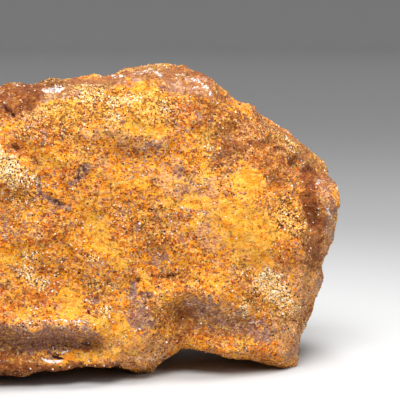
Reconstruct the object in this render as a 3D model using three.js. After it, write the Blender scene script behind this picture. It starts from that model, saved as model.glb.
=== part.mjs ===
// A rough iron meteorite, standing on its long edge: one stone, one solid.
//
// Millimetres, +Z up. The origin is on the ground under the middle of the stone. X runs along its
// length, and Y through its thickness, from the broad front face (-Y) to the back (+Y). The outline
// and the forms are laid out round a core a little to the left, and the stone is moved at the end.
//
// The stone is a slab. Its edge line is an outline in X and Z, and each half of its thickness closes
// over that outline as a superellipse. Swells and hollows of known place and size are then raised or
// sunk along the slab's outward direction, and shallow thumbprint hollows cover the whole. What would
// reach below the ground is cut off level, which gives the stone its flat feet.

import * as THREE from "three";
import { mergeVertices } from "three/addons/utils/BufferGeometryUtils.js";

// ---- Driving dimensions ----

const FACES_ALONG = 38; // grid cells over the stone's length, its thickness and its height
const FACES_THROUGH = 17;
const FACES_UP = 27;

const CORE = { x: 0, z: 41 }; // the point that the outline is measured from
const FRONT_DEPTH = 24; // from the middle of the slab to its front and to its back
const BACK_DEPTH = 26;
const YAW = 0.2; // how far the middle of the slab goes back for each millimetre to the right
const LEAN = 0.05; // and for each millimetre up
const MIDDLE = { x: 1.48, y: -1.05 }; // the middle of the whole stone, which goes over the origin
const BACK_SQUARENESS = 2.5; // superellipse exponents: 2 is round, more is flatter with a tighter edge
const FRONT_SQUARENESS = { top: 5.5, bottom: 3.7, left: 3.0, right: 3.2 };

// The edge line, [x, z], from the left end over the top, down the right end and back underneath.
const OUTLINE = [
  [-62, 42],
  [-61, 54],
  [-56, 65],
  [-47, 72],
  [-38, 76.4],
  [-30, 78.8],
  [-21, 78.2],
  [-11, 79.8],
  [-3, 81.6],
  [4, 84.7],
  [11, 85.2],
  [20, 82],
  [27, 80.2],
  [31.5, 75.5],
  [39, 70],
  [49, 64.4],
  [54.2, 58.4],
  [56.7, 53.2],
  [59.4, 48],
  [61, 42],
  [60.4, 35],
  [58.3, 28],
  [56.8, 20],
  [54.3, 13],
  [52.3, 6],
  [48.7, 0.5],
  [38, 0.6],
  [30, 3.5],
  [22, 5.3],
  [16.5, 5.3],
  [11.5, 3.4],
  [5, 0],
  [-8, -0.6],
  [-24, 0],
  [-38, 2],
  [-49, 6],
  [-57, 15],
  [-61, 28],
];

// Swells (+) and hollows (-): the line along their middle, how far they reach to either side of it,
// and their height. On the front the points are [x, z], and elsewhere [x, y, z].
const FRONT_FORMS = [
  { name: "top lip", line: [[1, 82], [14, 83], [24, 81], [28, 77]], reach: 3.5, height: 0.9 },
  { name: "groove under the lip", line: [[2, 79], [13, 79], [23, 76]], reach: 3.5, height: -0.6 },
  { name: "top left knuckle", line: [[-17, 80], [-13, 81]], reach: 3.5, height: 1.2 },
  { name: "top left hollow", line: [[-29, 74], [-26, 76]], reach: 4.6, height: -3.2 },
  { name: "left hollow", line: [[-28, 65], [-24, 63]], reach: 4.5, height: -1.6 },
  { name: "left swell", line: [[-32, 59], [-24, 56]], reach: 5, height: 1.5 },
  { name: "left dish", line: [[-30, 47], [-29, 38]], reach: 6, height: -1.8 },
  { name: "upper ledge", line: [[-5, 68], [6, 67.5], [14, 66]], reach: 3.5, height: 1.2 },
  { name: "step under the ledge", line: [[2, 63], [15, 62.5]], reach: 4, height: -1.5 },
  { name: "right dish", line: [[29, 63], [34, 57]], reach: 7, height: -2.3 },
  { name: "right mound", line: [[31, 49], [41, 46], [42, 38]], reach: 7, height: 1.5 },
  { name: "upper right rim", line: [[31, 75], [48, 64], [55, 57]], reach: 3.5, height: 1.2 },
  { name: "rim pit", line: [[44, 64], [46, 64]], reach: 2.4, height: -2.2 },
  { name: "shoulder pit", line: [[51, 58], [53, 57]], reach: 2.4, height: -2.2 },
  { name: "gritty hollow", line: [[47, 50], [48, 44]], reach: 4, height: -1.7 },
  { name: "middle hollow", line: [[12, 34], [15, 30], [19, 29]], reach: 4.5, height: -1.7 },
  { name: "lower edge", line: [[8, 25], [24, 23.5], [39, 26], [48, 23]], reach: 4, height: 1.3 },
  { name: "lower right hollow", line: [[19, 17], [26, 15], [35, 14]], reach: 5, height: -2.9 },
  { name: "lower right lip", line: [[20, 9], [33, 8], [45, 7]], reach: 3.2, height: 1.6 },
  { name: "foot lobe", line: [[6, 8], [8, 15]], reach: 6.5, height: 2.0 },
  { name: "cleft beside the lobe", line: [[19.5, 21], [18.5, 11]], reach: 3.2, height: -2.4 },
  { name: "lower left edge", line: [[-36, 18], [-20, 17.6], [-5, 17.4]], reach: 3.6, height: 2.6 },
  { name: "lower left band", line: [[-34, 11.4], [-6, 11.2]], reach: 3.4, height: -3.4 },
  { name: "lower left lip", line: [[-36, 7.6], [-24, 7], [-14, 6.8], [0, 7.2]], reach: 2.3, height: 3.4 },
  { name: "right face edge", line: [[52.6, 42], [51.6, 33], [50, 12]], reach: 3.6, height: 0.8 },
  { name: "right face hollow", line: [[56, 36], [55, 24], [53, 14]], reach: 3.6, height: -0.8 },
  { name: "groove beside the knob", line: [[53.4, 57], [53, 50], [56, 42]], reach: 2.7, height: -4.2 },
  { name: "knob", line: [[57.4, 54.5], [58.2, 50.5], [58.5, 47]], reach: 3.2, height: 3.2 },
];
const OTHER_FORMS = [
  { name: "left foot", line: [[-37, 0, 2], [-33, 12, 2]], reach: 7, height: 3.5 },
  { name: "undercut", line: [[-44, -14, 3.5], [-22, -14, 1], [-2, -13, 1]], reach: 7, height: -4.6 },
  { name: "keel", line: [[-16, 16, 3], [34, 20, 3]], reach: 9, height: 4 },
  { name: "left end hollow", line: [[-62, -8, 52], [-60, -12, 30]], reach: 11, height: -3 },
  { name: "left end brow", line: [[-58, -14, 64], [-60, 6, 62]], reach: 8, height: 2 },
  { name: "left end heel", line: [[-56, -10, 16], [-52, 10, 12]], reach: 9, height: 2 },
  { name: "back scoop", line: [[-28, 22, 52], [-14, 25, 46]], reach: 14, height: -4.5 },
  { name: "back bowl", line: [[22, 34, 58], [26, 34, 50]], reach: 12, height: -4 },
  { name: "back dimple", line: [[2, 30, 24], [10, 32, 22]], reach: 10, height: -3 },
  { name: "back right dimple", line: [[44, 34, 30], [46, 32, 22]], reach: 9, height: -2.5 },
  { name: "back ridge", line: [[-6, 28, 70], [4, 32, 48], [-4, 28, 34]], reach: 6, height: 2.2 },
  { name: "back left swell", line: [[-46, 14, 34], [-40, 18, 20]], reach: 9, height: 2.5 },
  { name: "back right ridge", line: [[34, 36, 40], [48, 32, 46], [56, 22, 44]], reach: 5.5, height: 1.8 },
  { name: "top back step", line: [[-30, 14, 76], [-6, 18, 80]], reach: 8, height: -2.5 },
  { name: "top saddle", line: [[-36, 2, 78], [-26, 4, 79]], reach: 7, height: -1.2 },
];

// Shallow thumbprint hollows with ridges between them, and rounded lumps, each of one size.
const THUMBPRINTS = { spacing: 38, depth: 2.2, seed: 2, onFront: 0.35 };
const LUMPS = [
  { spacing: 17, height: 0.4, seed: 5 },
  { spacing: 8.5, height: 0.2, seed: 9 },
];
const WAVES = 20; // plane waves in each field of lumps
const MEAN_SWING = 0.8; // mean size of such a field

const RUST = 0xc07a38;
const GOLDEN_ANGLE = Math.PI * (3 - Math.sqrt(5));

// ---- The slab ----

const edgeLine = OUTLINE.map(([x, z]) => ({
  turn: Math.atan2(z - CORE.z, x - CORE.x),
  radius: Math.hypot(x - CORE.x, z - CORE.z),
})).sort((a, b) => a.turn - b.turn);

// Point k of the edge line, going round again past either end.
function edgeKnot(k) {
  const laps = Math.floor(k / edgeLine.length);
  const knot = edgeLine[k - laps * edgeLine.length];
  return { turn: knot.turn + laps * 2 * Math.PI, radius: knot.radius };
}

// The outline's radius in a direction, by a cubic that takes its slopes from the points to either side.
function edgeRadius(turn) {
  const next = edgeLine.findIndex((knot) => knot.turn > turn);
  const k = (next < 0 ? edgeLine.length : next) - 1;
  const [before, start, end, after] = [k - 1, k, k + 1, k + 2].map(edgeKnot);
  const span = end.turn - start.turn;
  const startSlope = (end.radius - before.radius) / (end.turn - before.turn);
  const endSlope = (after.radius - start.radius) / (after.turn - start.turn);
  const t = (turn - start.turn) / span;
  return (
    (2 * t ** 3 - 3 * t ** 2 + 1) * start.radius +
    (t ** 3 - 2 * t ** 2 + t) * span * startSlope +
    (3 * t ** 2 - 2 * t ** 3) * end.radius +
    (t ** 3 - t ** 2) * span * endSlope
  );
}

// How far back the middle of the slab lies at a place.
const middle = (x, z) => YAW * x + LEAN * (z - CORE.z);

// The front's squareness in a direction: each side's own where that side faces, blended between.
function frontSquareness(turn) {
  const across = Math.cos(turn);
  const up = Math.sin(turn);
  const side = across > 0 ? FRONT_SQUARENESS.right : FRONT_SQUARENESS.left;
  const end = up > 0 ? FRONT_SQUARENESS.top : FRONT_SQUARENESS.bottom;
  return side * across ** 2 + end * up ** 2;
}

// The slab's point, and its outward direction, for a direction from its core.
function slab(direction) {
  const turn = Math.atan2(direction.z, direction.x);
  const flat = Math.hypot(direction.x, direction.z);
  const deep = Math.abs(direction.y);
  const facing = Math.sign(direction.y);
  const depth = facing < 0 ? FRONT_DEPTH : BACK_DEPTH;
  const squareness = facing < 0 ? frontSquareness(turn) : BACK_SQUARENESS;
  const stretch = (flat ** squareness + deep ** squareness) ** (-1 / squareness);
  const radius = edgeRadius(turn);
  const x = CORE.x + radius * stretch * flat * Math.cos(turn);
  const z = CORE.z + radius * stretch * flat * Math.sin(turn);
  const sideways = (stretch * flat) ** (squareness - 1) / radius;
  const point = new THREE.Vector3(x, middle(x, z) + facing * depth * stretch * deep, z);
  const outward = new THREE.Vector3(
    sideways * Math.cos(turn),
    (facing * (stretch * deep) ** (squareness - 1)) / depth,
    sideways * Math.sin(turn),
  ).normalize();
  return { point, outward };
}

// The front face's point at a place.
function frontPoint([x, z]) {
  const turn = Math.atan2(z - CORE.z, x - CORE.x);
  const share = Math.min(Math.hypot(x - CORE.x, z - CORE.z) / edgeRadius(turn), 1);
  const squareness = frontSquareness(turn);
  const depth = FRONT_DEPTH * (1 - share ** squareness) ** (1 / squareness);
  return new THREE.Vector3(x, middle(x, z) - depth, z);
}

// ---- Its relief ----

const forms = [
  ...FRONT_FORMS.map((form) => ({ ...form, points: form.line.map(frontPoint) })),
  ...OTHER_FORMS.map((form) => ({ ...form, points: form.line.map((p) => new THREE.Vector3(...p)) })),
];

// Rounded lumps of one size, about -2 to 2: plane waves of one length in evenly spread directions.
function lumps(point, spacing, seed) {
  let sum = 0;
  for (let k = 0; k < WAVES; k++) {
    const up = 1 - (2 * k + 1) / WAVES;
    const across = Math.sqrt(1 - up * up);
    const turn = GOLDEN_ANGLE * k + seed;
    const along = across * Math.cos(turn) * point.x + across * Math.sin(turn) * point.y + up * point.z;
    sum += Math.sin((2 * Math.PI * along) / spacing + seed * (k + 1) ** 2);
  }
  return sum * Math.sqrt(2 / WAVES);
}

// How far a form's line is from a point.
function distanceTo(line, point) {
  const nearest = new THREE.Vector3();
  const lengths = line.slice(1).map((end, k) => {
    new THREE.Line3(line[k], end).closestPointToPoint(point, true, nearest);
    return nearest.distanceTo(point);
  });
  return Math.min(...lengths);
}

// How far the stone stands out from the slab at a point that faces `outward`.
function relief(point, outward) {
  const towardsFront = THREE.MathUtils.smoothstep(-outward.y, 0.2, 0.9);
  const strength = 1 - (1 - THUMBPRINTS.onFront) * towardsFront;
  const swing = Math.abs(lumps(point, THUMBPRINTS.spacing, THUMBPRINTS.seed));
  let height = THUMBPRINTS.depth * strength * (MEAN_SWING - swing);
  for (const { spacing, height: rise, seed } of LUMPS) {
    height += rise * lumps(point, spacing, seed);
  }
  for (const { points, reach, height: rise } of forms) {
    height += rise * Math.exp(-((distanceTo(points, point) / reach) ** 2));
  }
  return height;
}

// ---- The solid ----

// The skin of a cube, turned into directions that are evenly spread, and those into the stone's skin.
function stoneGeometry() {
  const box = new THREE.BoxGeometry(2, 2, 2, FACES_ALONG, FACES_UP, FACES_THROUGH);
  box.rotateX(Math.PI / 2);
  box.deleteAttribute("normal");
  box.deleteAttribute("uv");
  const skin = mergeVertices(box, 1e-5);
  const places = skin.attributes.position;
  const direction = new THREE.Vector3();
  for (let i = 0; i < places.count; i++) {
    direction.fromBufferAttribute(places, i).multiplyScalar(Math.PI / 4);
    direction.set(Math.tan(direction.x), Math.tan(direction.y), Math.tan(direction.z)).normalize();
    const { point, outward } = slab(direction);
    point.addScaledVector(outward, relief(point, outward));
    places.setXYZ(i, point.x, point.y, Math.max(point.z, 0));
  }
  skin.translate(-MIDDLE.x, -MIDDLE.y, 0);
  splitShorterWay(skin);
  skin.computeVertexNormals();
  return skin;
}

// Splits each four-sided cell along the shorter of its two diagonals, so that no sliver stands up.
function splitShorterWay(skin) {
  const places = skin.attributes.position;
  const corners = skin.index;
  const corner = (k) => new THREE.Vector3().fromBufferAttribute(places, corners.getX(k));
  for (let k = 0; k < corners.count; k += 6) {
    const [a, b, c, d] = [0, 1, 4, 2].map((step) => corners.getX(k + step));
    if (corner(k).distanceTo(corner(k + 4)) < corner(k + 1).distanceTo(corner(k + 2))) {
      [a, b, c, a, c, d].forEach((vertex, step) => corners.setX(k + step, vertex));
    }
  }
}

const meteorite = new THREE.Mesh(
  stoneGeometry(),
  new THREE.MeshStandardMaterial({ color: RUST, roughness: 0.75, metalness: 0.2 }),
);
meteorite.name = "meteorite";

const stone = new THREE.Group();
stone.add(meteorite);

export default stone;
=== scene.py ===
"""A rough iron meteorite that stands on its long edge, with its rusted skin, in a pale studio.

The stone is one closed surface. A cube's skin is turned into directions round the stone's core, and
each direction into a point of a slab whose edge line is an outline in X and Z. Swells, hollows,
thumbprints, lumps, pits and crumbs are then raised or sunk along the slab's outward direction. Loose
rust grains, thousands of small closed stones, are bedded in the gritty parts of the skin.

Lengths in the classes of the stone are millimetres, in outline coordinates: X along the stone, Y
through it, from the broad front (-Y) to the back, and Z up. Meshes are in metres, with the middle
of the stone over the origin. Pixels, columns and rows are those of the camera's frame.
"""

import logging
import math
from dataclasses import dataclass, field
from enum import Enum

import bpy
import numpy as np
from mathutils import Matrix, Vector


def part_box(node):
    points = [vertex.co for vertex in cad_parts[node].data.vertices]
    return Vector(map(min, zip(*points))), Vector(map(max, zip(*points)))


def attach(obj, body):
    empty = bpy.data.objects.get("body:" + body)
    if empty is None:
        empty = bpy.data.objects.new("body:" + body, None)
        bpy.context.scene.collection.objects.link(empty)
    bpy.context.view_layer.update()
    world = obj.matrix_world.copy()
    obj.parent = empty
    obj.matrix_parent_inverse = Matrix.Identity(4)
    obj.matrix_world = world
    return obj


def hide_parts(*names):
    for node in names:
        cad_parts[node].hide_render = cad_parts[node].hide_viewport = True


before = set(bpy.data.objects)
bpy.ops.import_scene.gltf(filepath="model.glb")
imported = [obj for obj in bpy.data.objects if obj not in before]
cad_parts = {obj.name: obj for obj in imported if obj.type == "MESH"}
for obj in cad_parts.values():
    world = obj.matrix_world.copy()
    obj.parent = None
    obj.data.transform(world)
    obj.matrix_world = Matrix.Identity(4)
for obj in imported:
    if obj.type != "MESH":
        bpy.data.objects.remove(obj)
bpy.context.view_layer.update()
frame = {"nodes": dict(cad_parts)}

log = logging.getLogger("meteorite")

MM = 0.001  # metres in a millimetre
GOLDEN_ANGLE = math.pi * (3 - math.sqrt(5))
MIDDLE = (1.48, -1.05)  # the middle of the whole stone, which goes over the origin


# ---- Fields ----


def smooth_step(value: np.ndarray, low: float, high: float) -> np.ndarray:
    """Rises smoothly from 0 at `low` to 1 at `high`: t * t * (3 - 2 t) of the clipped share.

    Args:
        value: the values to ease.
        low: the value that becomes 0.
        high: the value that becomes 1.

    Returns:
        An array of the same shape, from 0 to 1.
    """
    share = np.clip((value - low) / (high - low), 0, 1)
    return share * share * (3 - 2 * share)


def lumps(points: np.ndarray, spacing: float, seed: float, waves: int = 20) -> np.ndarray:
    """Rounded lumps of one size, about -2 to 2.

    The sum of `waves` sines of the distance along evenly spread directions, each of length
    `spacing`, with phase seed * (k + 1) squared, over the root of half their number.

    Args:
        points: places, one a row.
        spacing: from one lump to the next.
        seed: turns the directions and sets the phases.
        waves: how many plane waves are added.

    Returns:
        One value a point.
    """
    k = np.arange(waves)
    up = 1 - (2 * k + 1) / waves
    across = np.sqrt(1 - up * up)
    turn = GOLDEN_ANGLE * k + seed
    ways = np.stack([across * np.cos(turn), across * np.sin(turn), up])
    phases = seed * (k + 1) ** 2
    return np.sin(points @ ways * (2 * np.pi / spacing) + phases).sum(axis=1) * math.sqrt(2 / waves)


@dataclass(frozen=True)
class Field:
    """Rounded lumps of one size over the whole stone."""

    spacing: float
    height: float
    seed: float

    def at(self, points: np.ndarray, shift: float = 0.0) -> np.ndarray:
        """The height at each point. Each shift of the seed gives a field of its own."""
        return self.height * lumps(points, self.spacing, self.seed + shift)


def scrambled(cells: np.ndarray, salt: int) -> np.ndarray:
    """A number from 0 to 1 for each whole-number cell, which looks random and is always the same.

    Args:
        cells: whole-number coordinates, in the last axis.
        salt: picks one of many such fields.

    Returns:
        One value a cell.
    """
    mixed = cells.astype(np.int64) @ np.array([73856093, 19349663, 83492791]) + salt * 2654435761
    mixed = (mixed ^ (mixed >> 13)) * 1274126177 & 0x7FFFFFFF
    mixed = (mixed ^ (mixed >> 15)) * 668265263 & 0x7FFFFFFF
    return (mixed & 0xFFFFF) / 0xFFFFF


def crumbs(points: np.ndarray, spacing: float, salt: int) -> tuple[np.ndarray, np.ndarray]:
    """The nearest of a set of scattered seeds: one at a random place in each cell of a cubic lattice.

    Args:
        points: places, one a row.
        spacing: the lattice's pitch.
        salt: picks one of many such sets.

    Returns:
        The distance to the nearest seed, in pitches, and that seed's own number from 0 to 1.
    """
    scaled = points / spacing
    home = np.floor(scaled)
    nearest = np.full(len(points), np.inf)
    tone = np.zeros(len(points))
    for step in np.ndindex(3, 3, 3):
        cell = home + np.array(step) - 1
        seed = cell + np.stack([scrambled(cell, salt + axis) for axis in range(3)], axis=1)
        distance = np.linalg.norm(scaled - seed, axis=1)
        closer = distance < nearest
        nearest[closer] = distance[closer]
        tone[closer] = scrambled(cell[closer], salt + 3)
    return nearest, tone


WANDERS = (Field(3.6, 0.5, 50), Field(1.5, 0.25, 60))


def ragged(points: np.ndarray) -> np.ndarray:
    """Moves each point a little, so that what is drawn round a line gets an uneven edge.

    Each coordinate gets the sum of the WANDERS, with lumps of its own.

    Args:
        points: places, one a row.

    Returns:
        The moved places.
    """
    moves = [sum(each.at(points, axis) for each in WANDERS) for axis in range(3)]
    return points + np.stack(moves, axis=1)


def distance_to(line: np.ndarray, points: np.ndarray) -> np.ndarray:
    """How far each point is from a line of straight stretches.

    Args:
        line: the line's own points, one a row.
        points: places, one a row.

    Returns:
        The distance to the nearest place on the line.
    """
    nearest = np.full(len(points), np.inf)
    for start, end in zip(line[:-1], line[1:]):
        along = end - start
        share = np.clip((points - start) @ along / (along @ along), 0, 1)
        gap = points - start - share[:, None] * along
        nearest = np.minimum(nearest, np.linalg.norm(gap, axis=1))
    return nearest


@dataclass(frozen=True)
class Sight:
    """How the front is seen, in outline coordinates."""

    target: tuple[float, float, float] = (23.8, 0.0, 47.2)  # what the middle of the frame shows
    elevation: float = 8.0  # how far above level it is seen from, in degrees
    distance: float = 498.0
    frame: float = 400.0  # columns, and rows, of the frame
    pixel: float = 0.28  # the side of a pixel at the target

    def pixels(self, points: np.ndarray) -> np.ndarray:
        """The column and row of the frame that each place shows at.

        A place is shifted by its offset from the target, sideways and up as the camera sees them,
        times distance / depth.

        Args:
            points: places, one a row.

        Returns:
            Columns and rows, one place a row.
        """
        up = math.radians(self.elevation)
        x, y, z = (points - np.array(self.target)).T
        depth = self.distance + y * math.cos(up) - z * math.sin(up)
        scale = self.distance / depth / self.pixel
        rise = y * math.sin(up) + z * math.cos(up)
        return self.frame / 2 + np.stack([x * scale, -rise * scale], axis=1)


SIGHT = Sight()


# ---- The slab ----


@dataclass(frozen=True)
class EdgeLine:
    """The line round the stone where its front meets its back, as a radius round its core."""

    core: tuple[float, float] = (0.0, 41.0)
    points: tuple[tuple[float, float], ...] = (
        (-62, 42), (-61, 54), (-56, 65), (-47, 72), (-38, 76.4), (-30, 78.8), (-21, 78.2), (-11, 79.8),
        (-3, 81.6), (4, 84.7), (11, 85.2), (20, 82), (27, 80.2), (31.5, 75.5), (39, 70), (49, 64.4),
        (54.2, 58.4), (56.7, 53.2), (59.4, 48), (61, 42), (60.4, 35), (58.3, 28), (56.8, 20), (54.3, 13),
        (52.3, 6), (48.7, 0.5), (38, 0.6), (30, 3.5), (22, 5.3), (16.5, 5.3), (11.5, 3.4), (5, 0),
        (-8, -0.6), (-24, 0), (-38, 2), (-49, 6), (-57, 15), (-61, 28),
    )  # fmt: skip

    def radius(self, turn: np.ndarray) -> np.ndarray:
        """The edge line's radius in each direction.

        Between two points it is the cubic that meets their radii, with the slopes that the points to
        either side of each give it.

        Args:
            turn: directions in the X-Z plane, in radians from -pi to pi.

        Returns:
            The radius in each of those directions.
        """
        offsets = np.array(self.points, float) - self.core
        turns = np.arctan2(offsets[:, 1], offsets[:, 0])
        order = np.argsort(turns)
        turns, radii = turns[order], np.hypot(*offsets.T)[order]
        lap = 2 * np.pi
        turns = np.concatenate([turns[-2:] - lap, turns, turns[:2] + lap])
        radii = np.concatenate([radii[-2:], radii, radii[:2]])
        k = np.searchsorted(turns, turn, side="right") - 1
        span = turns[k + 1] - turns[k]
        start_slope = (radii[k + 1] - radii[k - 1]) / (turns[k + 1] - turns[k - 1])
        end_slope = (radii[k + 2] - radii[k]) / (turns[k + 2] - turns[k])
        t = (turn - turns[k]) / span
        return (
            (2 * t**3 - 3 * t**2 + 1) * radii[k]
            + (t**3 - 2 * t**2 + t) * span * start_slope
            + (3 * t**2 - 2 * t**3) * radii[k + 1]
            + (t**3 - t**2) * span * end_slope
        )


@dataclass(frozen=True)
class Slab:
    """The stone without its relief: a slab whose front and back close over one edge line."""

    edge: EdgeLine = field(default_factory=EdgeLine)
    front_depth: float = 24.0  # from the middle of the slab to its front
    back_depth: float = 26.0
    yaw: float = 0.2  # how far the slab's middle goes back for each millimetre to the right
    lean: float = 0.05  # and for each millimetre up
    back_squareness: float = 2.5  # superellipse exponents: 2 is round, more is flatter
    top_squareness: float = 5.5
    bottom_squareness: float = 3.7
    left_squareness: float = 3.0
    right_squareness: float = 3.2

    def middle(self, x: np.ndarray, z: np.ndarray) -> np.ndarray:
        """How far back the middle of the slab lies at a place."""
        return self.yaw * x + self.lean * (z - self.edge.core[1])

    def front_squareness(self, turn: np.ndarray) -> np.ndarray:
        """The front's exponent: each side's own where that side faces, blended between."""
        across, up = np.cos(turn), np.sin(turn)
        side = np.where(across > 0, self.right_squareness, self.left_squareness)
        end = np.where(up > 0, self.top_squareness, self.bottom_squareness)
        return side * across**2 + end * up**2

    def place(self, directions: np.ndarray) -> tuple[np.ndarray, np.ndarray]:
        """The slab's surface in each direction from its core.

        Flat is a direction's part in the X-Z plane and deep its part along Y. Both are stretched by
        (flat ** n + deep ** n) ** (-1 / n), the flat part by the edge line's radius too, and the deep
        part by the depth of the side that it faces.

        Args:
            directions: unit directions, one a row.

        Returns:
            The points, and the outward direction at each, one a row.
        """
        core_x, core_z = self.edge.core
        turn = np.arctan2(directions[:, 2], directions[:, 0])
        flat = np.hypot(directions[:, 0], directions[:, 2])
        deep = np.abs(directions[:, 1])
        facing = np.sign(directions[:, 1])
        front = facing < 0
        depth = np.where(front, self.front_depth, self.back_depth)
        power = np.where(front, self.front_squareness(turn), self.back_squareness)
        stretch = (flat**power + deep**power) ** (-1 / power)
        radius = self.edge.radius(turn)
        x = core_x + radius * stretch * flat * np.cos(turn)
        z = core_z + radius * stretch * flat * np.sin(turn)
        points = np.stack([x, self.middle(x, z) + facing * depth * stretch * deep, z], axis=1)
        sideways = (stretch * flat) ** (power - 1) / radius
        endways = facing * (stretch * deep) ** (power - 1) / depth
        outward = np.stack([sideways * np.cos(turn), endways, sideways * np.sin(turn)], axis=1)
        return points, outward / np.linalg.norm(outward, axis=1)[:, None]

    def front_points(self, line: tuple[tuple[float, float], ...]) -> np.ndarray:
        """The front face's points at places given as (x, z), one a row."""
        x, z = np.array(line, float).T
        core_x, core_z = self.edge.core
        turn = np.arctan2(z - core_z, x - core_x)
        share = np.minimum(np.hypot(x - core_x, z - core_z) / self.edge.radius(turn), 1)
        power = self.front_squareness(turn)
        depth = self.front_depth * (1 - share**power) ** (1 / power)
        return np.stack([x, self.middle(x, z) - depth, z], axis=1)

    def line(self, places: tuple[tuple[float, ...], ...]) -> np.ndarray:
        """A line's points, one a row: places given as (x, z) are put on the front."""
        return self.front_points(places) if len(places[0]) == 2 else np.array(places, float)


@dataclass(frozen=True)
class Front:
    """Where places on the stone show in the frame."""

    pixels: np.ndarray  # column and row
    wobble: np.ndarray  # what an uneven edge adds to them
    facing: np.ndarray  # 1 on the front, falling to 0 towards the back
    full: float = 9.0  # the reach, in pixels, from which the whole wobble is used

    @classmethod
    def of(cls, points: np.ndarray, outward: np.ndarray) -> "Front":
        """Finds them for places and the outward direction at each."""
        pixels = SIGHT.pixels(points)
        wobble = SIGHT.pixels(ragged(points)) - pixels
        return cls(pixels, wobble, facing=smooth_step(-outward[:, 1], -0.2, 0.1))

    def uneven(self, reach: float) -> np.ndarray:
        """The pixels, moved so that a line of that reach gets an uneven edge."""
        return self.pixels + self.wobble * min(1.0, reach / self.full)


# ---- Relief ----


@dataclass(frozen=True)
class Form:
    """A swell (+) or a hollow (-) along a line, with its reach to either side and its height."""

    name: str
    line: tuple[tuple[float, ...], ...]
    reach: float
    height: float


def raised(forms: tuple[Form, ...], lines: list[np.ndarray], points: np.ndarray) -> np.ndarray:
    """The height that a set of forms gives each point.

    Each form adds its height times exp(-(distance to its line / reach) squared).

    Args:
        forms: the forms.
        lines: each one's line, in the same measure as the points.
        points: places, one a row.

    Returns:
        The height at each point.
    """
    height = np.zeros(len(points))
    for form, line in zip(forms, lines):
        height += form.height * np.exp(-((distance_to(line, points) / form.reach) ** 2))
    return height


# Forms on the front, whose points are (x, z), and elsewhere, whose points are (x, y, z).
FRONT_FORMS = (
    Form("top lip", ((1, 82), (14, 83), (24, 81), (28, 77)), 3.5, 0.9),
    Form("groove under the lip", ((2, 79), (13, 79), (23, 76)), 3.5, -0.6),
    Form("top left knuckle", ((-17, 80), (-13, 81)), 3.5, 1.2),
    Form("top left hollow", ((-29, 74), (-26, 76)), 4.6, -3.2),
    Form("left hollow", ((-28, 65), (-24, 63)), 4.5, -1.6),
    Form("left swell", ((-32, 59), (-24, 56)), 5, 1.5),
    Form("left dish", ((-30, 47), (-29, 38)), 6, -1.8),
    Form("upper ledge", ((-5, 68), (6, 67.5), (14, 66)), 3.5, 1.2),
    Form("step under the ledge", ((2, 63), (15, 62.5)), 4, -1.5),
    Form("right dish", ((29, 63), (34, 57)), 7, -2.3),
    Form("right mound", ((31, 49), (41, 46), (42, 38)), 7, 1.5),
    Form("upper right rim", ((31, 75), (48, 64), (55, 57)), 3.5, 1.2),
    Form("rim pit", ((44, 64), (46, 64)), 2.4, -2.2),
    Form("shoulder pit", ((51, 58), (53, 57)), 2.4, -2.2),
    Form("gritty hollow", ((47, 50), (48, 44)), 4, -1.7),
    Form("middle hollow", ((12, 34), (15, 30), (19, 29)), 4.5, -1.7),
    Form("lower edge", ((8, 25), (24, 23.5), (39, 26), (48, 23)), 4, 1.3),
    Form("lower right hollow", ((19, 17), (26, 15), (35, 14)), 5, -2.9),
    Form("lower right lip", ((20, 9), (33, 8), (45, 7)), 3.2, 1.6),
    Form("foot lobe", ((6, 8), (8, 15)), 6.5, 2.0),
    Form("cleft beside the lobe", ((19.5, 21), (18.5, 11)), 3.2, -2.4),
    Form("lower left edge", ((-36, 18), (-20, 17.6), (-5, 17.4)), 3.6, 2.6),
    Form("lower left band", ((-34, 11.4), (-6, 11.2)), 3.4, -3.4),
    Form("lower left lip", ((-36, 7.6), (-24, 7), (-14, 6.8), (0, 7.2)), 2.3, 3.4),
    Form("right face edge", ((52.6, 42), (51.6, 33), (50, 12)), 3.6, 0.8),
    Form("right face hollow", ((56, 36), (55, 24), (53, 14)), 3.6, -0.8),
    Form("groove beside the knob", ((53.4, 57), (53, 50), (56, 42)), 2.7, -4.2),
    Form("knob", ((57.4, 54.5), (58.2, 50.5), (58.5, 47)), 3.2, 3.2),
)
OTHER_FORMS = (
    Form("left foot", ((-37, 0, 2), (-33, 12, 2)), 7, 3.5),
    Form("undercut", ((-44, -14, 3.5), (-22, -14, 1), (-2, -13, 1)), 7, -4.6),
    Form("keel", ((-16, 16, 3), (34, 20, 3)), 9, 4),
    Form("left end hollow", ((-62, -8, 52), (-60, -12, 30)), 11, -3),
    Form("left end brow", ((-58, -14, 64), (-60, 6, 62)), 8, 2),
    Form("left end heel", ((-56, -10, 16), (-52, 10, 12)), 9, 2),
    Form("back scoop", ((-28, 22, 52), (-14, 25, 46)), 14, -4.5),
    Form("back bowl", ((22, 34, 58), (26, 34, 50)), 12, -4),
    Form("back dimple", ((2, 30, 24), (10, 32, 22)), 10, -3),
    Form("back right dimple", ((44, 34, 30), (46, 32, 22)), 9, -2.5),
    Form("back ridge", ((-6, 28, 70), (4, 32, 48), (-4, 28, 34)), 6, 2.2),
    Form("back left swell", ((-46, 14, 34), (-40, 18, 20)), 9, 2.5),
    Form("back right ridge", ((34, 36, 40), (48, 32, 46), (56, 22, 44)), 5.5, 1.8),
    Form("top back step", ((-30, 14, 76), (-6, 18, 80)), 8, -2.5),
    Form("top saddle", ((-36, 2, 78), (-26, 4, 79)), 7, -1.2),
)


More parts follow.
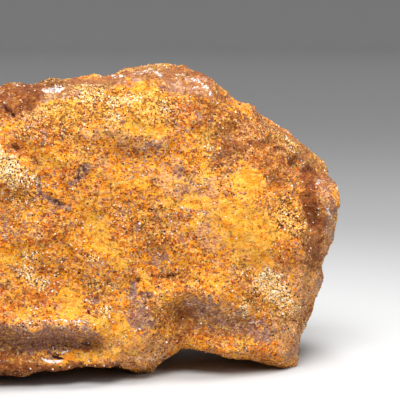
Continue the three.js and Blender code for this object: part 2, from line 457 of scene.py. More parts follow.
# Small forms on the front. Their lines and reaches are in pixels of the frame.
MARKS = (
    Form("knuckle crevice", ((3, 106), (9, 113)), 2.6, -0.8),
    Form("crevice under it", ((10, 114), (22, 118)), 2.6, -0.8),
    Form("left pit", ((9, 146), (17, 149)), 3, -0.6),
    Form("pit above the grit", ((31, 157), (38, 162)), 2.2, -0.7),
    Form("left groove", ((38, 179), (39, 190), (44, 197), (54, 201), (67, 208)), 3.2, -0.7),
    Form("upper groove", ((86, 165), (82, 173), (75, 182)), 3.6, -0.6),
    Form("short groove", ((45, 131), (43, 146)), 2.2, -0.5),
    Form("hairline", ((64, 168), (62, 180)), 1.6, -0.6),
    Form("middle slot", ((149, 211), (155, 213)), 2, -0.8),
    Form("low pits", ((160, 277), (170, 276), (179, 278)), 2.6, -0.8),
    Form("rim pit floor", ((274, 148), (284, 149)), 2.6, -0.8),
    Form("shoulder pit floor", ((302, 170), (309, 170)), 2.6, -0.8),
    Form("crack_shade", ((240, 263), (245, 271), (250, 284)), 2, -0.45),
    Form("grey hollow", ((137, 282), (132, 293)), 3.2, -0.7),
    Form("grey hollow beside it", ((143, 293), (150, 297)), 3.2, -0.6),
    Form("pit by the pale grit", ((96, 298), (99, 303)), 2.2, -0.7),
    Form("pit under it", ((94, 313), (97, 319)), 2.2, -0.7),
    Form("pit left of it", ((86, 308), (89, 316)), 1.8, -0.8),
    Form("black hole in the grit", ((293, 209), (299, 213)), 2, -0.8),
    Form("black hole below", ((296, 221), (301, 225)), 2, -0.7),
    Form("edge of the crust", ((262, 204), (271, 220), (286, 229), (300, 241), (309, 247)), 1.8, -0.5),
    Form(
        "thread on the top lip",
        ((98, 75), (112, 76), (126, 77), (136, 71), (147, 70), (163, 74)),
        1.6,
        0.5,
    ),
    Form("crescent", ((44, 358), (52, 361), (58, 362), (62, 359)), 1.8, 0.8),
    Form("slit over the crescent", ((46, 354), (54, 356), (61, 358)), 1.6, -0.9),
    Form("left curl", ((70, 357), (79, 353), (86, 354)), 2.6, 0.6),
    Form("right curl", ((92, 356), (101, 351), (116, 352)), 3, 0.7),
    Form("hollow over the curls", ((48, 348), (70, 347), (92, 347)), 4, -0.3),
    Form("knob pit", ((330, 212), (336, 210)), 2.4, -0.5),
    Form("knob groove", ((310, 184), (311, 200), (316, 216)), 3.4, -0.7),
)


@dataclass(frozen=True)
class Crumbs:
    """Crumbs of one size over the whole stone: how high they stand on bare skin and in grit."""

    spacing: float
    bare: float
    gritty: float
    salt: int


@dataclass(frozen=True)
class Relief:
    """How far the stone stands out from the slab: its forms, thumbprints, lumps, and fine relief."""

    slab: Slab
    thumbprints: Field = Field(38, 2.2, 2)
    thumbprints_on_front: float = 0.35
    mean_swing: float = 0.8  # mean size of a field of lumps
    fields: tuple[Field, ...] = (Field(17, 0.4, 5), Field(8.5, 0.2, 9))
    fine_fields: tuple[Field, ...] = (Field(6.4, 0.14, 17), Field(3.9, 0.12, 13), Field(2.3, 0.08, 21))
    crumb_layers: tuple[Crumbs, ...] = (Crumbs(2.6, 0.16, 0.5, 40), Crumbs(1.3, 0.14, 0.42, 60))
    lowest_crumb: float = 0.4  # the height of the lowest ones, for a mean of 1
    crumb_range: float = 1.2  # how much higher the highest ones are
    mark_level: float = 0.7  # how strong the marks are on the whole
    mark_breaks: Field = Field(1.9, 0.4, 33)  # what comes and goes along them
    mark_limits: tuple[float, float] = (0.1, 1.3)  # the least and the most strength
    mark_reach: float = 3.0  # the reach, in pixels, that the unevenness of their edges goes by

    def coarse(self, points: np.ndarray, outward: np.ndarray) -> np.ndarray:
        """The relief that the solid has too.

        Thumbprints are their depth times the mean swing less the size of a field of lumps. Two
        fields of smaller lumps and the forms are added.

        Args:
            points: the slab's points.
            outward: its outward direction at each.

        Returns:
            The height at each point.
        """
        on_front = smooth_step(-outward[:, 1], 0.2, 0.9)
        strength = 1 - (1 - self.thumbprints_on_front) * on_front
        prints = self.thumbprints
        swing = np.abs(lumps(points, prints.spacing, prints.seed))
        height = prints.height * strength * (self.mean_swing - swing)
        for each in self.fields:
            height += each.at(points)
        forms = FRONT_FORMS + OTHER_FORMS
        return height + raised(forms, [self.slab.line(form.line) for form in forms], points)

    def fine(self, points: np.ndarray, front: Front, grit: np.ndarray) -> tuple[np.ndarray, np.ndarray]:
        """The relief that only the skin has: small lumps, crumbs, and the marks on the front.

        A crumb is half a pitch less the distance to its seed, times a height that goes up with the
        grit and with the crumb's own number.

        Args:
            points: places on the stone.
            front: how they are seen.
            grit: how gritty the skin is at each, from 0 to 1.

        Returns:
            The height at each point, and the part of it that the marks and the crumbs give.
        """
        strength = np.clip(self.mark_level + self.mark_breaks.at(points), *self.mark_limits)
        lines = [np.array(form.line, float) for form in MARKS]
        sharp = strength * front.facing * raised(MARKS, lines, front.uneven(self.mark_reach))
        for layer in self.crumb_layers:
            gap, tone = crumbs(points, layer.spacing, layer.salt)
            size = layer.bare + (layer.gritty - layer.bare) * grit
            sharp += size * (0.5 - gap) * (self.lowest_crumb + self.crumb_range * tone)
        height = sharp.copy()
        for each in self.fine_fields:
            height += each.at(points)
        return height, sharp


# ---- Zones of finish ----


class Zone(Enum):
    """The finishes that the skin is made of, by the name of the attribute that holds each one's share."""

    OCHRE = "ochre"
    EMBER = "ember"
    GRIT = "grit"
    FROST = "frost"
    SCALE = "scale"
    # dark brown rust, and painted shade under the stone, in the groove beside the knob, in crevices and
    # along the top edge
    BROWN_AND_SHADE = "brown_and_shade"
    DUST = "dust"
    RIM = "rim"
    # painted highlight: white glints along the lips, the knob and the ledges
    GLINT = "glint"


@dataclass(frozen=True)
class Patch:
    """A place where a finish shows. Its line is of (column, row), in pixels, or of (x, y, z)."""

    line: tuple[tuple[float, ...], ...]
    reach: float
    strength: float


def patch(reach: float, *pixels: tuple[float, float], strength: float = 1.0) -> Patch:
    """A patch on the front, placed by pixels of the frame.

    Args:
        reach: how far it goes to either side, in pixels.
        pixels: (column, row) of each point of its line.
        strength: its share at its middle.

    Returns:
        The patch.
    """
    return Patch(pixels, reach, strength)


PATCHES = {
    Zone.OCHRE: (
        patch(30, (245, 195), (246, 250), strength=0.42),
        patch(20, (90, 105), (150, 112), strength=0.3),
        patch(8, (137, 108), (137, 126)),
        patch(8, (148, 106), (160, 124), strength=0.9),
        patch(4, (150, 133), (160, 134)),
        patch(5, (136, 90), (152, 92), strength=0.8),
        patch(9, (54, 112), (66, 112)),
        patch(5, (115, 184), (126, 183), (144, 183)),
        patch(7, (206, 135), (208, 172), strength=0.6),
        patch(6, (168, 203), (206, 203), strength=0.9),
        patch(8, (90, 220), (103, 242)),
        patch(11, (66, 298), (70, 308), strength=1.2),
        patch(7, (95, 322), (110, 330), (128, 330), strength=1.1),
        patch(4, (119, 319), (125, 321)),
        patch(8, (236, 179), (258, 179)),
        patch(9, (229, 208), (246, 217)),
        patch(8, (258, 222), (270, 234), strength=1.2),
        patch(11, (236, 238), (260, 244), strength=0.8),
        patch(5, (275, 233), (288, 236)),
        patch(3, (232, 257), (236, 259)),
        patch(3.5, (142, 273), (151, 290)),
        patch(14, (110, 344), (134, 346), strength=0.3),
        patch(3, (199, 221), (183, 232)),
        patch(6, (5, 255), (28, 255), strength=0.6),
        patch(5, (206, 281), (221, 281), strength=0.9),
        patch(4, (118, 265), (124, 265)),
        patch(9, (106, 250), (122, 250), strength=0.5),
        patch(4, (21, 313), (27, 313)),
        patch(9, (50, 155), (66, 155), strength=0.5),
        patch(4, (66, 358), (82, 357)),
        patch(4, (88, 356), (102, 354), (116, 356)),
        patch(6, (240, 343), (254, 342), strength=0.3),
        patch(5, (192, 345), (203, 345), strength=0.5),
    ),
    Zone.EMBER: (
        patch(8, (4, 143), (20, 148), strength=0.9),
        patch(14, (34, 128), (60, 150), strength=0.6),
        patch(11, (38, 300), (56, 290), strength=0.9),
        patch(7, (44, 224), (46, 242), strength=0.9),
        patch(9, (283, 236), (286, 266), strength=0.45),
        patch(18, (264, 162), (290, 176), strength=0.6),
        patch(8, (150, 276), (185, 278), strength=0.9),
        patch(12, (124, 232), (150, 240), strength=0.6),
        patch(12, (14, 296), (22, 310), strength=0.6),
        patch(10, (186, 345), (206, 338), strength=0.7),
        patch(8, (228, 336), (262, 350), strength=0.7),
        patch(15, (180, 110), (206, 122), strength=0.7),
    ),
    Zone.GRIT: (
        patch(19, (60, 110), (110, 106), (160, 110), strength=0.65),
        patch(14, (30, 128), (70, 132), strength=0.4),
        patch(8, (12, 200), (38, 201), strength=0.5),
        patch(20, (150, 215), (120, 200), strength=0.3),
        patch(12, (60, 268), (104, 290), strength=0.35),
        patch(14, (283, 214), (297, 226), strength=1.0),
        patch(12, (150, 270), (186, 276), strength=0.5),
        patch(12, (252, 300), (290, 312), strength=0.5),
        patch(8, (236, 262), (250, 272), strength=0.5),
        patch(9, (262, 132), (310, 168), strength=0.3),
    ),
    Zone.FROST: (
        patch(8, (78, 98), (98, 96), strength=0.5),
        patch(5, (113, 104), (137, 98), strength=0.7),
        patch(5, (113, 117), (122, 117), strength=0.5),
        patch(4, (167, 111), (171, 114), strength=0.5),
        patch(10, (2, 160), (8, 178), strength=1.7),
        patch(12, (10, 168), (26, 182), strength=0.6),
        patch(6, (12, 200), (30, 201), strength=0.4),
        patch(6, (21, 271), (29, 273), strength=0.6),
        patch(7, (33, 280), (44, 281), strength=0.8),
        patch(6, (206, 140), (212, 158), strength=0.5),
        patch(5, (252, 290), (259, 290), strength=0.8),
        patch(11, (266, 281), (280, 297), strength=1.3),
        patch(5, (244, 303), (246, 312), strength=0.8),
        patch(5, (292, 308), (297, 308), strength=0.8),
        patch(5, (104, 311), (107, 312), strength=0.9),
        patch(6, (285, 214), (292, 222), strength=0.4),
        patch(5, (26, 257), (32, 257), strength=0.5),
        patch(5, (86, 258), (92, 259), strength=0.5),
        patch(5, (90, 284), (97, 292), strength=0.5),
    ),
    Zone.DUST: (
        patch(8, (24, 112), (38, 117), strength=0.9),
        patch(7, (94, 133), (112, 133), strength=0.7),
        patch(8, (124, 141), (162, 142), strength=0.8),
        patch(14, (168, 182), (206, 185), strength=0.6),
        patch(7, (34, 232), (40, 233), strength=0.8),
        patch(4, (10, 326), (48, 324), (92, 325), strength=0.6),
        patch(16, (112, 352), (156, 350), strength=0.9),
        patch(9, (324, 180), (330, 210), strength=0.5),
        patch(28, (176, 214), (232, 222), strength=0.35),
        patch(10, (206, 234), (212, 244), strength=0.8),
        patch(12, (250, 128), (286, 140), strength=0.4),
        patch(4, (101, 163), (107, 163)),
        patch(3, (98, 263), (106, 263)),
        # Pale dust, and painted light on the lower right side, which faces away from the main lamps.
        patch(14, (284, 322), (290, 345), strength=1.1),
        patch(14, (200, 306), (236, 316), strength=0.5),
        patch(14, (244, 262), (286, 272), strength=0.5),
        Patch(((57, 2, 34), (56, 2, 22), (54, 0, 8)), 9, 0.9),
        # Pale dust, and painted light on the lower right side, which faces away from the main lamps.
        patch(11, (312, 262), (306, 292), (300, 330), strength=1.1),
    ),
    Zone.SCALE: (
        patch(13, (0, 339), (48, 340), (86, 337), strength=1.15),
        patch(9, (323, 180), (330, 212), strength=0.5),
        patch(12, (118, 152), (154, 158), strength=0.1),
        patch(2.5, (148, 145), (160, 146), strength=0.8),
        patch(11, (174, 165), (184, 188), strength=0.4),
        patch(3, (38, 180), (40, 192), (43, 197), (52, 200), (66, 208)),
        patch(3.5, (86, 168), (73, 184)),
        patch(2.5, (44, 133), (44, 145)),
        patch(7, (202, 115), (206, 122), strength=0.5),
        patch(4, (176, 125), (179, 128), strength=0.7),
        patch(5, (163, 87), (170, 87), strength=0.6),
        patch(2.5, (231, 135), (231, 139)),
        patch(4, (138, 223), (138, 228)),
        patch(9, (158, 252), (162, 264), strength=0.45),
        patch(3, (134, 284), (132, 298)),
        patch(3, (145, 295), (149, 296)),
        patch(12, (138, 308), (144, 320), strength=0.7),
        patch(6, (184, 222), (184, 240), strength=0.4),
        patch(3, (185, 207), (203, 215), strength=0.6),
        patch(5, (191, 306), (198, 306), (210, 314), strength=0.8),
        patch(3, (226, 323), (230, 323)),
        patch(4, (262, 274), (269, 275), strength=0.6),
        patch(9, (280, 332), (290, 338), strength=0.25),
        patch(9, (222, 158), (230, 168), strength=0.3),
        patch(13, (196, 312), (262, 330), strength=0.75),
        patch(3, (114, 286), (117, 288), strength=0.8),
        patch(3, (93, 301), (97, 302), strength=0.8),
        patch(10, (4, 212), (10, 238), strength=0.35),
    ),
    Zone.BROWN_AND_SHADE: (
        # Dark brown knuckle and crevices, with painted shade that holds back the lamps' light on the top
        # left.
        patch(9, (3, 103), (14, 110), strength=1.2),
        patch(13, (0, 92), (30, 95), strength=1.7),
        Patch(((-36, -8, 78), (-22, -8, 77)), 10, 1.6),
        patch(14, (2, 108), (24, 110), strength=0.5),
        # Painted shade along the top edge, which the lamps from above light strongly.
        patch(8, (100, 70), (160, 66), (214, 78), strength=0.5),
        Patch(((-16, -6, 80), (2, -5, 84), (22, -2, 82)), 9, 0.5),
        patch(3, (10, 146), (17, 147), strength=0.4),
        patch(3, (34, 161), (38, 162)),
        patch(22, (232, 138), (276, 150), strength=0.55),
        patch(16, (272, 162), (294, 174), strength=0.4),
        patch(15, (204, 110), (232, 130), strength=0.35),
        patch(24, (180, 148), (232, 158), strength=0.2),
        patch(9, (228, 106), (262, 124), strength=0.4),
        patch(8, (2, 124), (26, 128), strength=0.4),
        patch(9, (226, 158), (232, 150), strength=0.4),
        patch(4, (250, 144), (263, 144), strength=0.7),
        patch(2.6, (275, 148), (284, 149), strength=0.8),
        patch(4, (270, 178), (276, 179), strength=0.6),
        patch(2.6, (303, 169), (310, 170), strength=0.9),
        # Painted shade in the groove beside the knob.
        patch(9, (309, 178), (310, 216), strength=1.5),
        patch(8, (315, 222), (322, 224), strength=0.8),
        patch(10, (316, 222), (312, 264), strength=1.0),
        # Painted shade under the stone.
        Patch(((-34, -16, 1), (-4, -10, 1)), 7, 1.2),
        patch(12, (150, 308), (172, 311), strength=0.5),
        patch(8, (180, 306), (182, 338), strength=0.6),
        patch(14, (196, 322), (244, 328), strength=0.6),
        patch(4, (170, 277), (181, 278), strength=0.8),
        patch(4, (57, 224), (64, 225), strength=0.6),
        patch(5, (3, 286), (7, 287), strength=0.7),
        patch(8, (4, 330), (4, 365), strength=0.6),
        # Painted shade on the underside strip along the bottom.
        patch(5.5, (0, 370), (60, 370), (118, 367), strength=1.4),
        patch(6, (257, 304), (264, 304), strength=0.5),
        patch(5, (244, 276), (248, 277), strength=0.5),
        patch(9, (150, 240), (162, 250), strength=0.4),
        patch(9, (0, 357), (40, 362), strength=0.8),
    ),
    Zone.RIM: (
        patch(6, (44, 97), (71, 92), (101, 84), (127, 74), (153, 71), (186, 84), (212, 93)),
        patch(10, (180, 84), (208, 92), strength=0.7),
        patch(4, (215, 98), (229, 110), (256, 130), (293, 150), (315, 171), strength=0.3),
        patch(9, (323, 180), (330, 210), strength=0.5),
        patch(5, (288, 355), (295, 352), strength=0.8),
        patch(5, (328, 222), (332, 236)),
        Patch(((2, -6, 83.5), (12, -4, 84.5), (22, -2, 81), (28, 0, 78)), 9, 1.0),
        Patch(((-18, -10, 78.5), (-16, -8, 79), (-6, -8, 81)), 8, 0.9),
        Patch(((34, 4, 73), (48, 8, 64), (56, 10, 56)), 7, 0.7),
    ),
    # Painted highlights: white glints where the lips, knob and ledges would reflect the lamps.
    Zone.GLINT: (
        patch(4, (45, 91), (61, 88), strength=0.62),
        patch(1.9, (98, 76), (111, 76), (129, 77), (137, 73), (154, 72), (162, 75), strength=0.6),
        patch(2.2, (192, 78), (199, 81), (206, 85), (214, 105), strength=0.45),
        patch(2, (191, 89), (204, 87), strength=0.45),
        patch(1.8, (20, 322), (52, 320), (88, 322), strength=0.45),
        patch(2, (151, 141), (164, 142), strength=0.45),
        patch(2, (317, 184), (322, 179), strength=0.6),
        patch(1.9, (324, 205), (333, 217), strength=0.55),
        patch(1.8, (327, 226), (327, 232), strength=0.5),
        patch(1.6, (54, 350), (58, 354), (70, 352), strength=0.6),
        patch(1.6, (132, 331), (139, 329), (145, 326.5), strength=0.5),
        patch(1.6, (133, 357), (145, 359), (156, 359), (163, 357), strength=0.45),
        patch(1.5, (247, 326), (258, 320), strength=0.5),
        patch(1.5, (234, 328), (240, 324), strength=0.5),
    ),
}


@dataclass(frozen=True)
class Spread:
    """How much of a finish there is away from its patches: a level, its swing, and its spacing."""

    level: float
    swing: float
    spacing: float


@dataclass(frozen=True)
class Weathering:
    """Where each finish shows, over the whole stone."""

    spreads: dict[Zone, Spread] = field(
        default_factory=lambda: {
            Zone.OCHRE: Spread(0.2, 0.1, 13),
            Zone.EMBER: Spread(0.15, 0.1, 12),
            Zone.GRIT: Spread(0.22, 0.12, 17),
            Zone.FROST: Spread(0.04, 0.08, 9),
            Zone.SCALE: Spread(0.12, 0.08, 11),
            Zone.BROWN_AND_SHADE: Spread(0.1, 0.08, 19),
            Zone.DUST: Spread(0.15, 0.08, 15),
            Zone.RIM: Spread(0.05, 0.06, 12),
            Zone.GLINT: Spread(0.0, 0.0, 10),
        }
    )
    unseen: float = 2.5  # how much wider the swings get on the sides and the back
    seeds: tuple[int, int] = (31, 7)  # the first finish's, and the step to each of the others
    most: float = 1.4  # that there may be of any finish

    def shares(self, points: np.ndarray, outward: np.ndarray, front: Front) -> dict[Zone, np.ndarray]:
        """How much of each finish there is at each point, from 0 to `most`.

        Each is a level plus a field of lumps, and its patches add strength times
        exp(-(distance / reach) to the fourth). Frost is gritty too.

        Args:
            points: places on the stone, one a row.
            outward: the slab's outward direction at each.
            front: how they are seen.

        Returns:
            The share of each finish.
        """
        behind = smooth_step(outward[:, 1], -0.5, 0.2)
        uneven = ragged(points)
        first, step = self.seeds
        found = {}
        for number, zone in enumerate(Zone):
            spread = self.spreads[zone]
            swing = spread.swing * (1 + self.unseen * behind)
            share = spread.level + swing * lumps(points, spread.spacing, first + step * number)
            for each in PATCHES[zone]:
                line = np.array(each.line, float)
                seen = line.shape[1] == 2
                away = distance_to(line, front.uneven(each.reach) if seen else uneven) / each.reach
                share = share + each.strength * np.exp(-(away**4)) * (front.facing if seen else 1.0)
            found[zone] = np.clip(share, 0, self.most)
        found[Zone.GRIT] = np.maximum(found[Zone.GRIT], found[Zone.FROST])
        return found


# ---- Shader building ----


class Value:
    """A socket that Python's operators can work on. Each operator adds a Math node."""

    def __init__(self, nodes: "Nodes", socket: bpy.types.NodeSocket) -> None:
        """Wraps a socket of a node tree."""
        self.nodes = nodes
        self.socket = socket

    def _math(self, operation: str, *terms: "Value | float") -> "Value":
        """A Math node of that operation on those terms."""
        return self.nodes.add("ShaderNodeMath", {"operation": operation}, dict(enumerate(terms)))

    def __add__(self, other: "Value | float") -> "Value":
        """self + other."""
        return self._math("ADD", self, other)

    __radd__ = __add__

    def __sub__(self, other: "Value | float") -> "Value":
        """self - other."""
        return self._math("SUBTRACT", self, other)

    def __rsub__(self, other: float) -> "Value":
        """other - self."""
        return self._math("SUBTRACT", other, self)

    def __mul__(self, other: "Value | float") -> "Value":
        """self * other."""
        return self._math("MULTIPLY", self, other)

    __rmul__ = __mul__

    def __truediv__(self, other: "Value | float") -> "Value":
        """self / other."""
        return self._math("DIVIDE", self, other)

    def other(self, output: int | str) -> "Value":
        """Another output of the node that this one comes from."""
        return Value(self.nodes, self.socket.node.outputs[output])

    def above(self, low: float, high: float) -> "Value":
        """Rises smoothly from 0 where self is `low` to 1 where it is `high`."""
        settings = {"interpolation_type": "SMOOTHSTEP"}
        return self.nodes.add("ShaderNodeMapRange", settings, {0: self, 1: low, 2: high, 3: 0.0, 4: 1.0})


Colour = tuple[float, float, float]


class Nodes:
    """The node tree of one material."""

    def __init__(self, name: str) -> None:
        """Starts an empty material of that name."""
        self.material = bpy.data.materials.new(name)
        self.material.use_nodes = True
        self.tree = self.material.node_tree
        self.tree.nodes.clear()

    def add(
        self,
        kind: str,
        settings: dict[str, object],
        sockets: dict[int | str, object],
        output: int | str = 0,
    ) -> Value:
        """Adds a node.

        Args:
            kind: the node's type.
            settings: its properties, which are set first.
            sockets: values, or links from other sockets, by number or by identifier.
            output: the output to give back, by number or by name.

        Returns:
            That output.
        """
        node = self.tree.nodes.new(kind)
        for name, setting in settings.items():
            setattr(node, name, setting)
        for key, value in sockets.items():
            by_name = {each.identifier: each for each in node.inputs}
            socket = node.inputs[key] if isinstance(key, int) else by_name[key]
            if isinstance(value, Value):
                self.tree.links.new(value.socket, socket)
            elif isinstance(value, tuple) and len(value) == 3 and socket.type == "RGBA":
                socket.default_value = (*value, 1.0)
            else:
                socket.default_value = value
        return Value(self, node.outputs[output])

    def mix(self, start: "Value | Colour", end: "Value | Colour", factor: "Value | float") -> Value:
        """From one colour to another by a factor."""
        sockets = {"Factor_Float": factor, "A_Color": start, "B_Color": end}
        return self.add("ShaderNodeMix", {"data_type": "RGBA"}, sockets, 2)

    def blend(self, kind: str, colour: Value, other: "Value | Colour", factor: "Value | float") -> Value:
        """One colour laid over another by a blend mode, such as MULTIPLY."""
        sockets = {"Factor_Float": factor, "A_Color": colour, "B_Color": other}
        return self.add("ShaderNodeMix", {"data_type": "RGBA", "blend_type": kind}, sockets, 2)

    def place(self) -> Value:
        """The place in the object, in millimetres."""
        where = self.add("ShaderNodeTexCoord", {}, {}, "Object")
        return self.add("ShaderNodeVectorMath", {"operation": "SCALE"}, {0: where, "Scale": 1 / MM})

    def attribute(self, name: str) -> Value:
        """A number that the mesh holds for each point."""
        return self.add("ShaderNodeAttribute", {"attribute_name": name}, {}, "Fac")

    def noise(self, place: Value, size: float, detail: float = 2.0, roughness: float = 0.6) -> Value:
        """Cloudy noise from 0 to 1 whose patches are about `size` millimetres across."""
        sockets = {"Vector": place, "Scale": 1 / size, "Detail": detail, "Roughness": roughness}
        return self.add("ShaderNodeTexNoise", {}, sockets)

    def cells(self, place: Value, size: float) -> tuple[Value, Value, Value]:
        """Cells about `size` millimetres across: the distance to each one's seed, and two random values."""
        distance = self.add("ShaderNodeTexVoronoi", {}, {"Vector": place, "Scale": 1 / size})
        one = self.add("ShaderNodeSeparateColor", {}, {0: distance.other("Color")})
        return distance, one, one.other(1)

    def turned(self, place: Value, angle: float, stretch: float) -> Value:
        """The place turned about Y by an angle in degrees, then drawn out `stretch` times along X."""
        turn = (0.0, math.radians(angle), 0.0)
        sockets = {"Vector": place, "Rotation": turn, "Scale": (1 / stretch, 1.0, 1.0)}
        return self.add("ShaderNodeMapping", {}, sockets)

    def moved(self, place: Value, far: float) -> Value:
        """The place moved far along each axis, so that a second noise differs from the first."""
        return self.add("ShaderNodeVectorMath", {"operation": "ADD"}, {0: place, 1: (far, far, far)})

    def surface(self, sockets: dict[int | str, object]) -> bpy.types.Material:
        """Closes the material with a Principled shader of those sockets."""
        shader = self.add("ShaderNodeBsdfPrincipled", {}, sockets)
        output = self.tree.nodes.new("ShaderNodeOutputMaterial")
        self.tree.links.new(shader.socket, output.inputs["Surface"])
        return self.material


def srgb(red: float, green: float, blue: float) -> Colour:
    """A colour given as it looks, 0 to 255, in the linear values that shaders take."""
    return tuple(
        c / 12.92 if c <= 0.04045 else ((c + 0.055) / 1.055) ** 2.4
        for c in (red / 255, green / 255, blue / 255)
    )


@dataclass(frozen=True)
class Rust:
    """The colours of the rust, as they look, with painted shade and highlight among them, and where each
    shows.
    """

    deep: Colour = srgb(192, 80, 2)
    orange: Colour = srgb(250, 140, 4)
    tan: Colour = srgb(248, 174, 98)
    yellow: Colour = srgb(255, 174, 20)
    ochre: Colour = srgb(255, 180, 50)
    ember: Colour = srgb(216, 108, 22)
    gold: Colour = srgb(255, 206, 104)
    cream: Colour = srgb(255, 250, 232)
    dust: Colour = srgb(224, 162, 116)
    scale: Colour = srgb(152, 110, 106)
    brown_and_shade: Colour = srgb(146, 80, 36)
    # painted shade: low specks, sunk relief, crumb gaps and the darkest brown-and-shade places go towards
    # it
    shadow: Colour = srgb(108, 46, 12)
    # painted shade in sunk relief, holes and the slit; also the tone of the dark grains
    black: Colour = srgb(46, 20, 16)
    rim: Colour = srgb(152, 94, 60)
    # painted highlight: the white that the glints and the crescent are mixed towards
    painted_highlight: Colour = srgb(255, 250, 246)
    ash: Colour = srgb(146, 114, 116)
    spread: float = 3.6  # how much ragged noise scatters the zones into specks
    zone_grain: float = 1.5  # the widest of those specks, in millimetres
    glint_spread: float = 2.16  # the same two for the glints
    glint_grain: float = 0.75
    edge: tuple[float, float] = (0.45, 0.6)  # where a scattered zone starts to show, and shows in full

    def masks(self, n: Nodes, place: Value) -> dict[Zone, Value]:
        """Where each zone shows: its share, scattered into specks by ragged noise.

        Args:
            n: the material's nodes.
            place: the place in the object.

        Returns:
            A mask from 0 to 1 for each zone.
        """
        found = {}
        for number, zone in enumerate(Zone):
            grain, spread = self.zone_grain, self.spread
            if zone is Zone.GLINT:
                grain, spread = self.glint_grain, self.glint_spread
            scatter = n.noise(n.moved(place, 11.0 * number), grain, 3.0, 0.75)
            found[zone] = (n.attribute(zone.value) + (scatter - 0.5) * spread).above(*self.edge)
        return found

    def colour(self, n: Nodes, place: Value, masks: dict[Zone, Value]) -> Value:
        """The colour of the rust, without its grain.

        The bare rust is orange with deep bands, yellow blooms, tan flecks and ash-grey stains. The
        zones are laid over it, one after the other.

        Args:
            n: the material's nodes.
            place: the place in the object.
            masks: where each zone shows.

        Returns:
            The colour.
        """
        streaks = n.turned(place, 35.0, 1.8)
        bands = n.noise(streaks, 1.8, 3.0, 0.75)
        flecks = n.noise(n.moved(streaks, 40.0), 1.5, 3.0, 0.75)
        blooms = n.noise(n.moved(place, 80.0), 1.1, 3.0, 0.75)
        stains = n.noise(n.moved(place, 120.0), 1.3, 3.0, 0.75)
        colour = n.mix(self.deep, self.orange, bands.above(0.4, 0.5))
        colour = n.mix(colour, self.yellow, blooms.above(0.5, 0.56) * 0.95)
        colour = n.mix(colour, self.tan, flecks.above(0.56, 0.61) * 0.85)
        colour = n.mix(colour, self.ash, stains.above(0.43, 0.38) * 0.85)
        colour = n.mix(colour, self.ember, masks[Zone.EMBER] * 0.85)
        colour = n.mix(colour, self.dust, masks[Zone.DUST] * 0.7)
        colour = n.mix(colour, self.scale, masks[Zone.SCALE] * 0.85)
        ochre = n.mix(self.ochre, self.orange, bands.above(0.52, 0.42) * 0.8)
        ochre = n.mix(ochre, self.gold, flecks.above(0.54, 0.6) * 0.65)
        colour = n.mix(colour, ochre, masks[Zone.OCHRE] * 0.85)
        colour = n.mix(colour, self.rim, masks[Zone.RIM] * 0.8)
        # brown rust, and painted shade under the stone, along the top edge and in grooves and crevices
        brown_and_shade = masks[Zone.BROWN_AND_SHADE] * (0.85 - flecks.above(0.46, 0.58) * 0.35)
        colour = n.mix(colour, self.brown_and_shade, brown_and_shade)
        colour = n.mix(colour, self.gold, masks[Zone.FROST] * 0.5)
        return n.mix(colour, self.gold, masks[Zone.GRIT] * n.attribute(Zone.GRIT.value) * 0.25)


@dataclass(frozen=True)
class Sliver:
    """A bent ellipse of one colour on the front, measured in pixels of the frame."""

    middle: tuple[float, float]  # column and row
    length: float  # half of it
    thickness: float  # half of it
    bend: float  # how far its ends lie above its middle, in half thicknesses
    tilt: float  # how far its right end lies below its middle, in half thicknesses

    def mask(self, column: Value, row: Value) -> Value:
        """1 inside the sliver and 0 outside.

        With u and v the offsets from its middle over its half length and half thickness, it is
        where u * u + (v + bend * u * u - tilt * u) squared is below 1.

        Args:
            column: the column that a place shows at.
            row: the row.

        Returns:
            The mask.
        """
        u = (column - self.middle[0]) / self.length
        v = (row - self.middle[1]) / self.thickness
        v = v + u * u * self.bend - u * self.tilt
        return (u * u + v * v).above(1.3, 0.7)


class Pattern:
    """What the skin's colour, relief and gloss follow, as sockets of its material."""

    def __init__(self, n: Nodes, place: Value, grain: float) -> None:
        """Reads the mesh's attributes, and adds the grain and two sizes of cells.

        Plain is where the brown-and-shade share is low, and calm where it is ochre or rim. The grain's
        specks are drawn out one way in some patches and another way in the others.

        Args:
            n: the material's nodes.
            place: the place in the object.
            grain: how wide a speck is, in millimetres.
        """
        self.grit = n.attribute(Zone.GRIT.value)
        self.frost = n.attribute(Zone.FROST.value)
        self.brown_and_shade = n.attribute(Zone.BROWN_AND_SHADE.value)
        self.plain = self.brown_and_shade.above(1.6, 0.6)
        self.calm = (n.attribute(Zone.OCHRE.value) + n.attribute(Zone.RIM.value)).above(0.2, 1.2)
        # the relief of the marks and crumbs, which the colour follows as painted shade and highlight
        self.height = n.attribute("height")
        one_way = n.noise(n.turned(place, -35.0, 1.9), grain, 3.0, 0.8)
        other_way = n.noise(n.turned(place, 40.0, 1.9), grain, 3.0, 0.8)
        turn = n.noise(n.moved(place, 200.0), 8.0).above(0.46, 0.54)
        self.speck = one_way * (1.0 - turn) + other_way * turn
        self.clump = n.noise(n.moved(place, 160.0), grain * 3, 3.0, 0.7)
        self.gap, self.tone, self.kind = n.cells(place, grain)
        self.wide_gap, self.wide_tone, self.wide_kind = n.cells(n.moved(place, 5.0), grain * 1.7)


